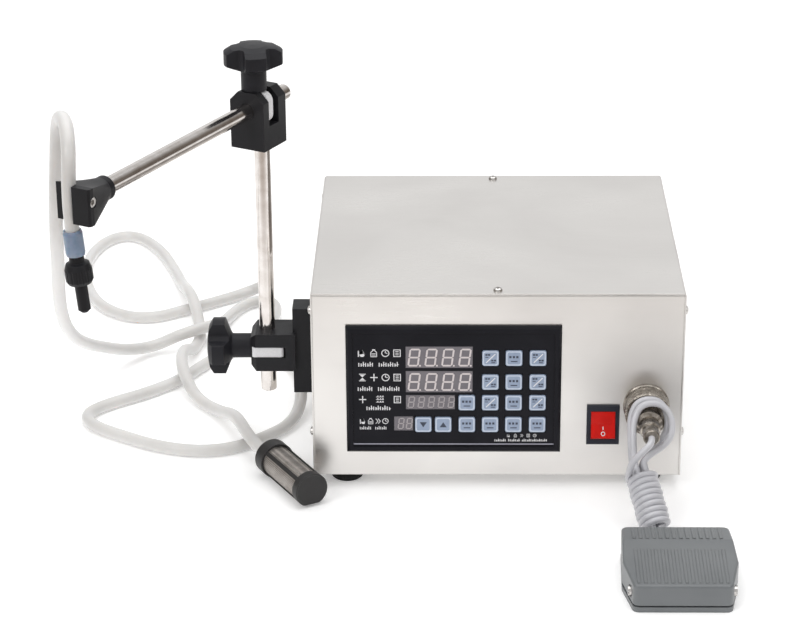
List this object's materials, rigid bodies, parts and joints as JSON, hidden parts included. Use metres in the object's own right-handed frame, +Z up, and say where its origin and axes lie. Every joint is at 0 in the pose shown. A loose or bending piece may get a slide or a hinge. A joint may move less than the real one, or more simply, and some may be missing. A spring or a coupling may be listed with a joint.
{
  "type": "bench liquid filling machine",
  "caption": "Bench liquid filler: steel control housing, clamp mast and arm with a nozzle, loose supply and outlet hoses, a strainer and a foot pedal on a bundled lead.",
  "frame": {"origin": "centre of the housing's footprint, on the surface that its feet stand on", "axes": "+Z up, +X to the right and -Y towards the user, who faces the control panel"},
  "size_m": [0.5434, 0.7136, 0.3452],
  "materials": {
    "stainless_sheet": "satin",
    "stainless_parts": "machined",
    "polished_rod": "polished",
    "nickel_plate": "worn polish",
    "black_nylon": "fine grain",
    "black_panel": "satin",
    "smoked_lens": "clear gloss",
    "key_blue_grey": "embossed film",
    "rocker_red": "gloss",
    "circuit_board": "varnished",
    "silicone_hose": "translucent",
    "blue_sleeve": "translucent",
    "strainer_gauze": "woven",
    "grey_cord": "matte",
    "pedal_grey": "satin",
    "foot_rubber": "matte",
    "spring_steel": "drawn",
    "pump_alloy": "cast",
    "motor_steel": "zinc",
    "power_case": "pressed"
  },
  "bodies": {
    "housing": {"base_chassis": "stainless_sheet", "control_board": "circuit_board", "cord_hank": "grey_cord", "display_lenses": "smoked_lens", "hose_fittings": "black_nylon", "housing_screws": "stainless_parts", "mast_bracket": "black_nylon", "outlet_hose": "silicone_hose", "panel_bezel": "black_panel", "pedal_base": "pedal_grey", "pedal_cord": "grey_cord", "pedal_screws": "stainless_parts", "pedal_spring": "spring_steel", "pedal_switch": "black_nylon", "plug_shell": "nickel_plate", "power_inlet": "black_nylon", "power_supply": "power_case", "pump_head": "pump_alloy", "pump_motor": "motor_steel", "rocker_housing": "black_nylon", "rubber_feet": "foot_rubber", "socket_shell": "nickel_plate", "strainer_cage": "black_nylon", "strainer_mesh": "strainer_gauze", "suction_hose": "silicone_hose", "top_cover": "stainless_sheet"},
    "mast": {"mast": "polished_rod"},
    "cross_block": {"cross_block": "black_nylon"},
    "arm": {"arm_rod": "polished_rod"},
    "lower_knob": {"lower_knob": "black_nylon"},
    "lower_eye": {"lower_eye": "stainless_parts"},
    "upper_knob": {"upper_knob": "black_nylon"},
    "upper_eye": {"upper_eye": "stainless_parts"},
    "rocker": {"rocker_lever": "rocker_red"},
    "pedal": {"pedal_cover": "pedal_grey"},
    "poppet": {"nozzle_poppet": "black_nylon"},
    "pump_rotor": {"pump_rotor": "motor_steel"},
    "pump_piston": {"pump_piston": "pump_alloy"},
    "key_row1_1": {"key_row1_1": "key_blue_grey"},
    "key_row1_2": {"key_row1_2": "key_blue_grey"},
    "key_row1_3": {"key_row1_3": "key_blue_grey"},
    "key_row2_1": {"key_row2_1": "key_blue_grey"},
    "key_row2_2": {"key_row2_2": "key_blue_grey"},
    "key_row2_3": {"key_row2_3": "key_blue_grey"},
    "key_row3_1": {"key_row3_1": "key_blue_grey"},
    "key_row3_2": {"key_row3_2": "key_blue_grey"},
    "key_row3_3": {"key_row3_3": "key_blue_grey"},
    "key_row3_4": {"key_row3_4": "key_blue_grey"},
    "key_row4_1": {"key_row4_1": "key_blue_grey"},
    "key_row4_2": {"key_row4_2": "key_blue_grey"},
    "key_row4_3": {"key_row4_3": "key_blue_grey"},
    "key_row4_4": {"key_row4_4": "key_blue_grey"},
    "key_row4_5": {"key_row4_5": "key_blue_grey"},
    "key_row4_6": {"key_row4_6": "key_blue_grey"},
    "clip": {"nozzle_clip": "black_nylon", "clip_screw": "stainless_parts", "nozzle_sleeve": "blue_sleeve", "nozzle_body": "black_nylon", "nozzle_spring": "spring_steel", "outlet_hose_top": "silicone_hose"}
  },
  "joints": [
    {"name": "mast_height", "type": "slide", "parent": "housing", "child": "mast", "axis": [0, 0, 1], "range_m": [-0.05, 0.018], "deforming": ["outlet_hose"]},
    {"name": "block_swivel", "type": "hinge", "parent": "mast", "child": "cross_block", "pos_m": [-0.176, -0.0775, 0.285], "axis": [0, 0, 1], "range_deg": [-60, 60], "deforming": ["outlet_hose"]},
    {"name": "arm_reach", "type": "slide", "parent": "cross_block", "child": "arm", "axis": [-0.4704, -0.8825, 0], "range_m": [-0.05, 0.02], "deforming": ["outlet_hose"]},
    {"name": "clip_roll", "type": "hinge", "parent": "arm", "child": "clip", "pos_m": [-0.176, -0.0775, 0.2927], "axis": [-0.4704, -0.8825, 0], "range_deg": [-25, 25], "deforming": ["outlet_hose"]},
    {"name": "lower_knob_turn", "type": "hinge", "parent": "housing", "child": "lower_knob", "pos_m": [-0.21, -0.0775, 0.0973], "axis": [-1, 0, 0], "range_deg": [0, 270]},
    {"name": "lower_eye_release", "type": "slide", "parent": "housing", "child": "lower_eye", "axis": [1, 0, 0], "range_m": [0, 0.0009375]},
    {"name": "upper_knob_turn", "type": "hinge", "parent": "cross_block", "child": "upper_knob", "pos_m": [-0.18005, -0.08509, 0.33], "axis": [0, 0, 1], "range_deg": [0, 270]},
    {"name": "upper_eye_release", "type": "slide", "parent": "cross_block", "child": "upper_eye", "axis": [0, 0, -1], "range_m": [0, 0.0009375]},
    {"name": "rocker_tilt", "type": "hinge", "parent": "housing", "child": "rocker", "pos_m": [0.0802, -0.1254, 0.0537], "axis": [-1, 0, 0], "range_deg": [0, 24]},
    {"name": "key_row1_1_press", "type": "slide", "parent": "housing", "child": "key_row1_1", "axis": [0, 1, 0], "range_m": [0, 0.0004], "stiffness_N_per_m": 300, "springref_m": -0.0004},
    {"name": "key_row1_2_press", "type": "slide", "parent": "housing", "child": "key_row1_2", "axis": [0, 1, 0], "range_m": [0, 0.0004], "stiffness_N_per_m": 300, "springref_m": -0.0004},
    {"name": "key_row1_3_press", "type": "slide", "parent": "housing", "child": "key_row1_3", "axis": [0, 1, 0], "range_m": [0, 0.0004], "stiffness_N_per_m": 300, "springref_m": -0.0004},
    {"name": "key_row2_1_press", "type": "slide", "parent": "housing", "child": "key_row2_1", "axis": [0, 1, 0], "range_m": [0, 0.0004], "stiffness_N_per_m": 300, "springref_m": -0.0004},
    {"name": "key_row2_2_press", "type": "slide", "parent": "housing", "child": "key_row2_2", "axis": [0, 1, 0], "range_m": [0, 0.0004], "stiffness_N_per_m": 300, "springref_m": -0.0004},
    {"name": "key_row2_3_press", "type": "slide", "parent": "housing", "child": "key_row2_3", "axis": [0, 1, 0], "range_m": [0, 0.0004], "stiffness_N_per_m": 300, "springref_m": -0.0004},
    {"name": "key_row3_1_press", "type": "slide", "parent": "housing", "child": "key_row3_1", "axis": [0, 1, 0], "range_m": [0, 0.0004], "stiffness_N_per_m": 300, "springref_m": -0.0004},
    {"name": "key_row3_2_press", "type": "slide", "parent": "housing", "child": "key_row3_2", "axis": [0, 1, 0], "range_m": [0, 0.0004], "stiffness_N_per_m": 300, "springref_m": -0.0004},
    {"name": "key_row3_3_press", "type": "slide", "parent": "housing", "child": "key_row3_3", "axis": [0, 1, 0], "range_m": [0, 0.0004], "stiffness_N_per_m": 300, "springref_m": -0.0004},
    {"name": "key_row3_4_press", "type": "slide", "parent": "housing", "child": "key_row3_4", "axis": [0, 1, 0], "range_m": [0, 0.0004], "stiffness_N_per_m": 300, "springref_m": -0.0004},
    {"name": "key_row4_1_press", "type": "slide", "parent": "housing", "child": "key_row4_1", "axis": [0, 1, 0], "range_m": [0, 0.0004], "stiffness_N_per_m": 300, "springref_m": -0.0004},
    {"name": "key_row4_2_press", "type": "slide", "parent": "housing", "child": "key_row4_2", "axis": [0, 1, 0], "range_m": [0, 0.0004], "stiffness_N_per_m": 300, "springref_m": -0.0004},
    {"name": "key_row4_3_press", "type": "slide", "parent": "housing", "child": "key_row4_3", "axis": [0, 1, 0], "range_m": [0, 0.0004], "stiffness_N_per_m": 300, "springref_m": -0.0004},
    {"name": "key_row4_4_press", "type": "slide", "parent": "housing", "child": "key_row4_4", "axis": [0, 1, 0], "range_m": [0, 0.0004], "stiffness_N_per_m": 300, "springref_m": -0.0004},
    {"name": "key_row4_5_press", "type": "slide", "parent": "housing", "child": "key_row4_5", "axis": [0, 1, 0], "range_m": [0, 0.0004], "stiffness_N_per_m": 300, "springref_m": -0.0004},
    {"name": "key_row4_6_press", "type": "slide", "parent": "housing", "child": "key_row4_6", "axis": [0, 1, 0], "range_m": [0, 0.0004], "stiffness_N_per_m": 300, "springref_m": -0.0004},
    {"name": "pedal_tilt", "type": "hinge", "parent": "housing", "child": "pedal", "pos_m": [0.127, -0.31, 0.012], "axis": [-1, 0, 0], "range_deg": [0, 4], "stiffness_Nm_per_rad": 1.5, "springref_deg": -6.88, "deforming": ["pedal_spring"]},
    {"name": "poppet_open", "type": "slide", "parent": "clip", "child": "poppet", "axis": [0.0924, 0, -0.9957], "range_m": [0, 0.002], "stiffness_N_per_m": 150, "springref_m": -0.004, "deforming": ["nozzle_spring"]},
    {"name": "rotor_spin", "type": "hinge", "parent": "housing", "child": "pump_rotor", "pos_m": [-0.116, 0.0365, 0.062], "axis": [1, 0, 0], "continuous": true},
    {"name": "piston_stroke", "type": "slide", "parent": "housing", "child": "pump_piston", "axis": [0, 0, 1], "range_m": [-0.003, 0.003]}
  ],
  "couplings": [
    {"joint": "lower_knob_turn", "follows": "lower_eye_release", "rad_per_m": 5026.5},
    {"joint": "upper_knob_turn", "follows": "upper_eye_release", "rad_per_m": 5026.5}
  ]
}
